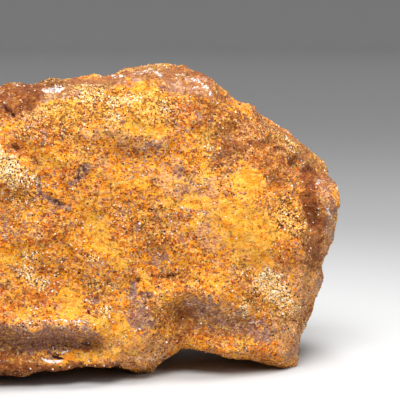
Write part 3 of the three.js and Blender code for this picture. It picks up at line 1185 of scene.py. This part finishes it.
@dataclass(frozen=True)
class SkinFinish:
    """The rusted skin. Its sizes are in millimetres, and its slivers in pixels of the frame."""

    rust: Rust = field(default_factory=Rust)
    grain: float = 0.5
    bump: float = 0.4  # how high a relief of 1 stands
    roughness: float = 0.85  # of bare rust
    # The crescent is a painted highlight on the lower left lip.
    crescent: Sliver = Sliver((52.2, 361.8), 10.6, 1.7, 1.5, 0.5)
    # painted shadow: the slit is black in the crease above the crescent
    slit: Sliver = Sliver((57.5, 357.6), 6.5, 1.6, 0.2, 1.0)
    curl: Sliver = Sliver((134.2, 289), 3.6, 8.5, 0.0, 0.5)

    def shaded(self, n: Nodes, colour: Value, skin: Pattern) -> Value:
        """The colour with painted shade on its low specks and sunk relief, and a painted gold highlight on
        high ones.

        Where the brown-and-shade share is high, painted shade darkens it further and no gold goes on,
        and the sunk marks and crumbs turn black as painted shade.

        Args:
            n: the material's nodes.
            colour: the rust without its grain.
            skin: the pattern.

        Returns:
            The new colour.
        """
        rough_skin = 1.15 - skin.calm * 0.5 + skin.grit * 0.35
        shade = (skin.speck - 0.5) * 3.4 + (skin.tone - 0.5) * 0.5 + (skin.wide_tone - 0.5) * 0.5
        shade = (shade + (skin.clump - 0.5) * 1.6 + skin.height * 0.4) * rough_skin
        # painted shade and highlight: low specks and sunk relief go towards shadow, high ones towards gold
        colour = n.mix(colour, self.rust.shadow, shade.above(0.0, -0.9) * 0.95)
        colour = n.mix(colour, self.rust.gold, shade.above(0.1, 0.9) * skin.plain * 0.7)
        # painted shade: the darkest brown-and-shade places go darker still
        deepened_shade = skin.brown_and_shade.above(0.8, 1.5) * (0.45 + skin.clump.above(0.56, 0.44) * 0.4)
        colour = n.mix(colour, self.rust.shadow, deepened_shade)
        # painted shade: the sunk marks and crumbs go black
        return n.mix(colour, self.rust.black, skin.height.above(-0.25, -0.7) * 0.65)

    def gritted(self, n: Nodes, colour: Value, skin: Pattern, masks: dict[Zone, Value]) -> Value:
        """The colour with painted shade in the cracks between its crumbs, and with some crumbs gold and
        some cream.

        Args:
            n: the material's nodes.
            colour: the shaded rust.
            skin: the pattern.
            masks: where each zone shows.

        Returns:
            The new colour.
        """
        # painted shade in the gaps between the crumbs
        crack_shade = skin.wide_gap.above(0.5, 0.62) * (masks[Zone.GRIT] * skin.grit + masks[Zone.FROST] * 0.8)
        colour = n.mix(colour, self.rust.shadow, crack_shade * 0.85)
        golden = (skin.wide_kind + skin.grit * 0.3).above(0.92, 1.0) * skin.wide_gap.above(0.55, 0.4)
        colour = n.mix(colour, self.rust.gold, golden * (0.3 + skin.grit * 0.4) * skin.plain)
        pale = (skin.kind + skin.frost * 0.42).above(1.0, 1.08) * skin.gap.above(0.64, 0.36)
        return n.mix(colour, self.rust.cream, pale)

    def pitted(self, n: Nodes, colour: Value, skin: Pattern, hole: Value) -> Value:
        """The colour with painted shade: black on its lowest specks and in the holes that the bump sinks,
        fewer of them where the skin is calm.

        Args:
            n: the material's nodes.
            colour: the colour so far.
            skin: the pattern.
            hole: where the holes are.

        Returns:
            The new colour.
        """
        strength = 1.15 - skin.calm * 0.9 + skin.grit * 0.2
        dark = (skin.speck - skin.grit * 0.07).above(0.37, 0.3)
        # painted shade: black on the lowest specks of the bump and in its sunk holes
        colour = n.mix(colour, self.rust.black, dark * strength * 0.7)
        return n.mix(colour, self.rust.black, hole * strength * 0.8)

    def build(self, name: str) -> bpy.types.Material:
        """Makes the material.

        Args:
            name: its name.

        Returns:
            The material.
        """
        n = Nodes(name)
        place = n.place()
        masks = self.rust.masks(n, place)
        skin = Pattern(n, place, self.grain)
        # holes sunk in the bump, which pitted() paints black as shade
        hole = (skin.wide_tone + skin.grit * 0.12).above(0.94, 0.98) * skin.wide_gap.above(0.42, 0.26)
        colour = self.shaded(n, self.rust.colour(n, place, masks), skin)
        colour = self.gritted(n, colour, skin, masks)
        colour = self.pitted(n, colour, skin, hole)
        column, row = n.attribute("column"), n.attribute("row")
        # painted shadow in the slit
        colour = n.mix(colour, self.rust.black, self.slit.mask(column, row))
        curl = self.curl.mask(column, row) * skin.speck.above(0.56, 0.46)
        colour = n.mix(colour, self.rust.ash, curl * 0.8)
        # Painted highlight: the glint zone and the crescent go white.
        crescent = self.crescent.mask(column, row)
        glint = masks[Zone.GLINT] * (1.0 - crescent) + crescent
        colour = n.mix(colour, self.rust.painted_highlight, glint * 0.9)
        relief = skin.speck * 2.0 + skin.tone * 0.3 - skin.gap * 0.4 - hole
        bump = {"Strength": 1.0, "Distance": self.bump * MM, "Height": relief}
        rough = self.roughness - masks[Zone.RIM] * 0.4 - masks[Zone.SCALE] * 0.35 - glint * 0.4
        sockets = {
            "Base Color": colour,
            "Roughness": rough,
            "Normal": n.add("ShaderNodeBump", {}, bump),
            "Specular IOR Level": 0.25,
            "Coat Weight": masks[Zone.RIM] * 0.35 + masks[Zone.SCALE] * 0.25,
            "Coat Roughness": 0.3,
        }
        return n.surface(sockets)


@dataclass(frozen=True)
class GrainFinish:
    """Loose rust grains: the colour of the rust round them, made darker or paler by each one's tone."""

    rust: Rust = field(default_factory=Rust)

    def build(self, name: str) -> bpy.types.Material:
        """Makes the material.

        Args:
            name: its name.

        Returns:
            The material.
        """
        n = Nodes(name)
        place = n.place()
        colour = self.rust.colour(n, place, self.rust.masks(n, place))
        tone = n.attribute("tone")
        colour = n.mix(colour, self.rust.black, tone.above(0.42, 0.0) * 0.85)
        colour = n.mix(colour, self.rust.cream, tone.above(0.58, 1.0) * 0.85)
        speck = n.noise(place, 0.3, 2.0, 0.7)
        colour = n.blend("MULTIPLY", colour, 1.0 + (speck - 0.5) * 1.6, 1.0)
        return n.surface({"Base Color": colour, "Roughness": 0.7, "Specular IOR Level": 0.25})


# ---- Meshes ----


def make_mesh(name: str, points: np.ndarray, triangles: np.ndarray, smooth: bool) -> bpy.types.Object:
    """An object whose mesh has those points and triangles.

    Args:
        name: the object's name.
        points: places in metres, one a row.
        triangles: three point numbers a row, anticlockwise from outside.
        smooth: whether its faces are shaded as one round surface.

    Returns:
        The object, in the scene.
    """
    mesh = bpy.data.meshes.new(name)
    mesh.vertices.add(len(points))
    mesh.vertices.foreach_set("co", points.astype(np.float32).ravel())
    mesh.loops.add(triangles.size)
    mesh.loops.foreach_set("vertex_index", triangles.astype(np.int32).ravel())
    mesh.polygons.add(len(triangles))
    mesh.polygons.foreach_set("loop_start", np.arange(0, triangles.size, 3, dtype=np.int32))
    mesh.polygons.foreach_set("use_smooth", np.full(len(triangles), smooth))
    mesh.update(calc_edges=True)
    mesh.validate()
    made = bpy.data.objects.new(name, mesh)
    bpy.context.scene.collection.objects.link(made)
    return made


def add_attribute(piece: bpy.types.Object, name: str, values: np.ndarray) -> None:
    """Gives each point of a piece's mesh a number."""
    piece.data.attributes.new(name, "FLOAT", "POINT").data.foreach_set("value", values.astype(np.float32))


def box_skin(counts: tuple[int, int, int]) -> tuple[np.ndarray, np.ndarray]:
    """The skin of a box of cells, with its edges and corners shared by the faces that meet there.

    Each of its six faces is a grid of two whole-number parameters, with the third one fixed.

    Args:
        counts: how many cells the box has along X, Y and Z.

    Returns:
        The lattice place of each corner, from -1 to 1, and four corner numbers for each cell.
    """
    places, cells, total = [], [], 0
    for axis in range(3):
        across, up = (axis + 1) % 3, (axis + 2) % 3
        i, j = np.meshgrid(np.arange(counts[across] + 1), np.arange(counts[up] + 1), indexing="ij")
        number = np.arange(i.size).reshape(i.shape)
        square = np.stack([number[:-1, :-1], number[1:, :-1], number[1:, 1:], number[:-1, 1:]], axis=-1)
        for end in (0, counts[axis]):
            place = np.zeros((i.size, 3), int)
            place[:, axis], place[:, across], place[:, up] = end, i.ravel(), j.ravel()
            places.append(place)
            quads = square.reshape(-1, 4) + total
            cells.append(quads if end else quads[:, ::-1])
            total += i.size
    shared, which = np.unique(np.concatenate(places), axis=0, return_inverse=True)
    return 2 * shared / np.array(counts) - 1, which.ravel()[np.concatenate(cells)]


def split_shorter_way(points: np.ndarray, cells: np.ndarray) -> np.ndarray:
    """Splits each four-sided cell along the shorter of its diagonals.

    Args:
        points: places, one a row.
        cells: four point numbers a row.

    Returns:
        Three point numbers a row, two rows for each cell.
    """
    a, b, c, d = cells.T
    first = np.linalg.norm(points[a] - points[c], axis=1) < np.linalg.norm(points[b] - points[d], axis=1)
    one = np.where(first[:, None], np.stack([a, b, c], axis=1), np.stack([a, b, d], axis=1))
    two = np.where(first[:, None], np.stack([a, c, d], axis=1), np.stack([b, c, d], axis=1))
    return np.concatenate([one, two])


@dataclass
class Stone:
    """The meteorite's skin."""

    slab: Slab = field(default_factory=Slab)
    cells: tuple[int, int, int] = (188, 68, 144)
    jitter: float = 0.08  # how far a point is moved in or out, more in grit
    bare_jitter: float = 0.4  # the share of it on bare skin
    seed: int = 7
    points: np.ndarray = field(init=False)  # in metres, one a row
    triangles: np.ndarray = field(init=False)  # three point numbers a row
    shares: dict[Zone, np.ndarray] = field(init=False)  # of each finish, at each point

    def build(self, low: np.ndarray, high: np.ndarray) -> bpy.types.Object:
        """Makes the skin, and keeps what the grains need.

        The box's skin is warped by tan(place * pi / 4), which spreads its directions evenly. Each
        point on the front holds the column and row that it shows at, and the others hold places
        outside the frame.

        Args:
            low: the lowest corner that it may reach, in metres.
            high: the highest.

        Returns:
            The piece.
        """
        lattice, cells = box_skin(self.cells)
        directions = np.tan(lattice * np.pi / 4)
        directions /= np.linalg.norm(directions, axis=1)[:, None]
        points, outward = self.slab.place(directions)
        relief = Relief(self.slab)
        placed = points + outward * relief.coarse(points, outward)[:, None]
        front = Front.of(placed, outward)
        self.shares = Weathering().shares(placed, outward, front)
        grit = np.minimum(self.shares[Zone.GRIT], 1)
        fine, sharp = relief.fine(placed, front, grit)
        random = np.random.default_rng(self.seed)
        fine += self.jitter * (self.bare_jitter + grit) * random.standard_normal(len(points))
        placed += outward * fine[:, None]
        shown = np.where(front.facing[:, None] > 0.5, SIGHT.pixels(placed), -SIGHT.frame)
        placed -= [*MIDDLE, 0]
        self.points = np.clip(placed * MM, low, high)
        self.triangles = split_shorter_way(self.points, cells)
        piece = make_mesh("rusted_stone", self.points, self.triangles, smooth=True)
        for zone, share in self.shares.items():
            add_attribute(piece, zone.value, share)
        for name, values in (("height", sharp), ("column", shown[:, 0]), ("row", shown[:, 1])):
            add_attribute(piece, name, values)
        piece.data.materials.append(SkinFinish().build("rusted_skin"))
        return piece


# An octahedron: its corners, and three corner numbers for each face.
CORNERS = np.array([[1, 0, 0], [-1, 0, 0], [0, 1, 0], [0, -1, 0], [0, 0, 1], [0, 0, -1]], float)
FACES = np.array([[0, 2, 4], [2, 1, 4], [1, 3, 4], [3, 0, 4], [2, 0, 5], [1, 2, 5], [3, 1, 5], [0, 3, 5]])


@dataclass
class Grains:
    """Loose grains bedded in the skin: lopsided eight-faced stones."""

    name: str
    count: int
    sizes: tuple[float, float]  # half width of the small and the large ones, in millimetres
    tones: tuple[float, float]  # mean and spread of how pale they are
    zone: Zone  # the finish that they lie in
    bare: float  # how many lie elsewhere, for one there
    seed: int
    behind: float = 0.3  # how many lie on the sides and the back, for one on the front
    calm: float = 0.1  # how many of the bare ones lie where the skin is calm, for one elsewhere
    pull: float = 0.35  # how far a corner is pulled in or out, as a share of the half width
    skew: float = 0.25  # and how far it is moved along each axis

    def chances(self, stone: Stone) -> np.ndarray:
        """How likely a grain is to lie on each of the stone's triangles, in all 1.

        It goes by the triangle's area, by how much of the grains' zone there is, and by whether it
        is calm or faces back.

        Args:
            stone: the stone that carries them.

        Returns:
            One value a triangle.
        """
        corners = stone.points[stone.triangles]
        normal = np.cross(corners[:, 1] - corners[:, 0], corners[:, 2] - corners[:, 0])
        area = np.linalg.norm(normal, axis=1)
        home = stone.shares[self.zone][stone.triangles].mean(axis=1)
        behind = smooth_step(normal[:, 1] / area, -0.2, 0.3)
        calm = (stone.shares[Zone.OCHRE] + stone.shares[Zone.RIM])[stone.triangles].mean(axis=1)
        bare = self.bare * (1 + (self.calm - 1) * smooth_step(calm, 0.4, 1.0))
        chance = area * (bare + smooth_step(home, 0.4, 0.9)) * (1 + (self.behind - 1) * behind)
        return chance / chance.sum()

    def shapes(self, random: np.random.Generator) -> np.ndarray:
        """The corners of each grain, in millimetres from its middle.

        Each is an octahedron whose six corners are pulled in or out and moved, turned at random.

        Args:
            random: where the random numbers come from.

        Returns:
            The places of each grain's corners.
        """
        small, large = self.sizes
        size = small + (large - small) * random.random(self.count) ** 2
        shape = CORNERS * (1 + self.pull * random.uniform(-1, 1, (self.count, len(CORNERS), 1)))
        shape = shape + self.skew * random.uniform(-1, 1, (self.count, len(CORNERS), 3))
        return np.einsum("nij,nkj->nki", self.turns(random), shape) * size[:, None, None]

    def build(self, stone: Stone, low: np.ndarray, high: np.ndarray) -> bpy.types.Object:
        """Makes the grains, each with its middle on the skin.

        Args:
            stone: the stone that carries them.
            low: the lowest corner that they may reach, in metres.
            high: the highest.

        Returns:
            The piece.
        """
        random = np.random.default_rng(self.seed)
        chosen = random.choice(len(stone.triangles), self.count, p=self.chances(stone))
        weights = random.dirichlet((1, 1, 1), self.count)
        middle = (stone.points[stone.triangles[chosen]] * weights[:, :, None]).sum(axis=1)
        points = middle[:, None] + self.shapes(random) * MM
        points = np.clip(points.reshape(-1, 3), low, high)
        first = len(CORNERS) * np.arange(self.count)
        triangles = (FACES[None] + first[:, None, None]).reshape(-1, 3)
        piece = make_mesh(self.name, points, triangles, smooth=False)
        tone = np.clip(random.normal(*self.tones, self.count), 0, 1)
        add_attribute(piece, "tone", np.repeat(tone, len(CORNERS)))
        for zone, share in stone.shares.items():
            found = share[stone.triangles[chosen, 0]]
            add_attribute(piece, zone.value, np.repeat(found, len(CORNERS)))
        piece.data.materials.append(GrainFinish().build(self.name))
        return piece

    def turns(self, random: np.random.Generator) -> np.ndarray:
        """A random turn for each grain, as a matrix: from a unit quaternion (w, x, y, z)."""
        q = random.standard_normal((self.count, 4))
        w, x, y, z = (q / np.linalg.norm(q, axis=1)[:, None]).T
        rows = [
            [1 - 2 * (y * y + z * z), 2 * (x * y - z * w), 2 * (x * z + y * w)],
            [2 * (x * y + z * w), 1 - 2 * (x * x + z * z), 2 * (y * z - x * w)],
            [2 * (x * z - y * w), 2 * (y * z + x * w), 1 - 2 * (x * x + y * y)],
        ]
        return np.array(rows).transpose(2, 0, 1)


# ---- Studio ----


@dataclass(frozen=True)
class SoftBox:
    """A square soft light."""

    name: str
    place: tuple[float, float, float]  # in metres
    side: float  # in metres
    power: float  # in watts

    def build(self, target: Vector) -> None:
        """Adds the light, turned towards a place."""
        lamp = bpy.data.lights.new(self.name, "AREA")
        lamp.size = self.side
        lamp.energy = self.power
        made = bpy.data.objects.new(self.name, lamp)
        made.location = self.place
        aim = target - Vector(self.place)
        made.rotation_euler = aim.to_track_quat("-Z", "Y").to_euler()
        bpy.context.scene.collection.objects.link(made)


@dataclass
class Studio:
    """A round pale sweep, soft lights and the camera."""

    radius: float = 1.6  # of the level floor, in metres
    cove: float = 0.5  # radius of the curve from the floor to the wall
    wall: float = 0.9  # height of the wall above the cove
    sides: int = 96  # of each ring of the sweep
    floor_rings: int = 24
    cove_rings: int = 16
    # painted light: greys that stand in for how the lamps' light falls off across the sweep
    falloff_greys: tuple[Colour, ...] = (
        srgb(186, 186, 186),
        srgb(156, 156, 156),
        srgb(227, 227, 227),
        srgb(206, 206, 206),
    )  # of the sweep, from its middle outwards
    stops: tuple[tuple[float, float], ...] = ((0.08, 0.3), (0.5, 1.5), (1.5, 1.9))  # between the shades
    boxes: tuple[SoftBox, ...] = (
        SoftBox("top_box", (0.12, -0.03, 0.75), 0.28, 5.8),
        SoftBox("front_box", (-0.05, -0.58, 0.87), 0.5, 12.9),
        SoftBox("side_box", (0.5, -0.3, 0.3), 0.3, 1.0),
    )
    surrounding: float = 0.08  # strength of the light from all round
    sensor: float = 36.0  # of the camera, in millimetres

    def floor(self) -> bpy.types.Object:
        """The sweep: a profile of distance and height, carried round the upright axis.

        The profile goes out along the floor, up a quarter circle, and up the wall. Its rings are
        close together near the middle.

        Returns:
            The floor.
        """
        out = self.radius * np.linspace(0, 1, self.floor_rings)[1:] ** 2
        bend = np.linspace(0, np.pi / 2, self.cove_rings)[1:]
        distance = np.concatenate([out, self.radius + self.cove * np.sin(bend)])
        height = np.concatenate([0 * out, self.cove * (1 - np.cos(bend))])
        distance = np.append(distance, distance[-1])
        height = np.append(height, height[-1] + self.wall)
        turn = np.arange(self.sides) * 2 * np.pi / self.sides
        across = distance[:, None] * np.cos(turn)
        back = distance[:, None] * np.sin(turn)
        rings = np.stack([across, back, np.repeat(height[:, None], self.sides, axis=1)], axis=-1)
        points = np.concatenate([[[0, 0, 0]], rings.reshape(-1, 3)])
        here = 1 + np.arange(self.sides)
        following = np.roll(here, -1)
        triangles = [np.stack([np.zeros(self.sides, int), here, following], axis=1)]
        for ring in range(len(distance) - 1):
            a, b = here + ring * self.sides, following + ring * self.sides
            c, d = a + self.sides, b + self.sides
            triangles += [np.stack([a, c, d], axis=1), np.stack([a, d, b], axis=1)]
        made = make_mesh("sweep", points, np.concatenate(triangles), smooth=True)
        made.data.materials.append(self.floor_finish())
        return made

    def floor_finish(self) -> bpy.types.Material:
        """Matt, in greys that paint the lamps' falloff on the sweep, with a smooth change from each to the
        next.
        """
        n = Nodes("pale_sweep")
        where = n.add("ShaderNodeTexCoord", {}, {}, "Object")
        distance = n.add("ShaderNodeVectorMath", {"operation": "LENGTH"}, {0: where}, "Value")
        colour = self.falloff_greys[0]
        for shade, stop in zip(self.falloff_greys[1:], self.stops):
            colour = n.mix(colour, shade, distance.above(*stop))
        return n.surface({"Base Color": colour, "Roughness": 0.9})

    def target(self) -> Vector:
        """What the middle of the frame shows, in metres, with the stone over the origin."""
        x, y, z = SIGHT.target
        return Vector((x - MIDDLE[0], y - MIDDLE[1], z)) * MM

    def camera(self) -> None:
        """The camera, in front of the stone and a little above it."""
        lens = bpy.data.cameras.new("camera")
        lens.lens = self.sensor * SIGHT.distance / (SIGHT.frame * SIGHT.pixel)
        lens.sensor_width = self.sensor
        up = math.radians(SIGHT.elevation)
        made = bpy.data.objects.new("camera", lens)
        back = Vector((0, -math.cos(up), math.sin(up)))
        made.location = self.target() + back * SIGHT.distance * MM
        made.rotation_euler = (-back).to_track_quat("-Z", "Y").to_euler()
        bpy.context.scene.collection.objects.link(made)
        bpy.context.scene.camera = made

    def build(self) -> None:
        """Sets up the floor, the lights, the surrounding light and the camera."""
        self.floor()
        for box in self.boxes:
            box.build(self.target())
        world = bpy.data.worlds.new("studio")
        bpy.context.scene.world = world
        world.use_nodes = True
        background = world.node_tree.nodes["Background"]
        background.inputs["Color"].default_value = (1, 1, 1, 1)
        background.inputs["Strength"].default_value = self.surrounding
        bpy.context.scene.view_settings.view_transform = "Standard"
        self.camera()


def main() -> None:
    """Builds the studio, the stone and its grains, in that order."""
    logging.basicConfig(level=logging.INFO, format="%(name)s: %(message)s")
    Studio().build()
    log.info("studio is set up")
    low, high = (np.array(corner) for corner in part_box("meteorite"))
    stone = Stone()
    skin = stone.build(low, high)
    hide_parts("meteorite")
    pieces = [skin]
    for grains in (
        Grains("rust_grains", 24000, (0.12, 0.34), (0.5, 0.2), Zone.GRIT, bare=0.3, seed=11),
        Grains("pale_grains", 3000, (0.14, 0.34), (0.75, 0.2), Zone.FROST, bare=0.006, seed=12),
        Grains("dark_grains", 10000, (0.12, 0.3), (0.15, 0.12), Zone.GRIT, bare=0.15, seed=13),
    ):
        pieces.append(grains.build(stone, low, high))
    for piece in pieces:
        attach(piece, "root")
        log.info("%s has %d triangles", piece.name, len(piece.data.polygons))


if __name__ == "__main__":
    main()
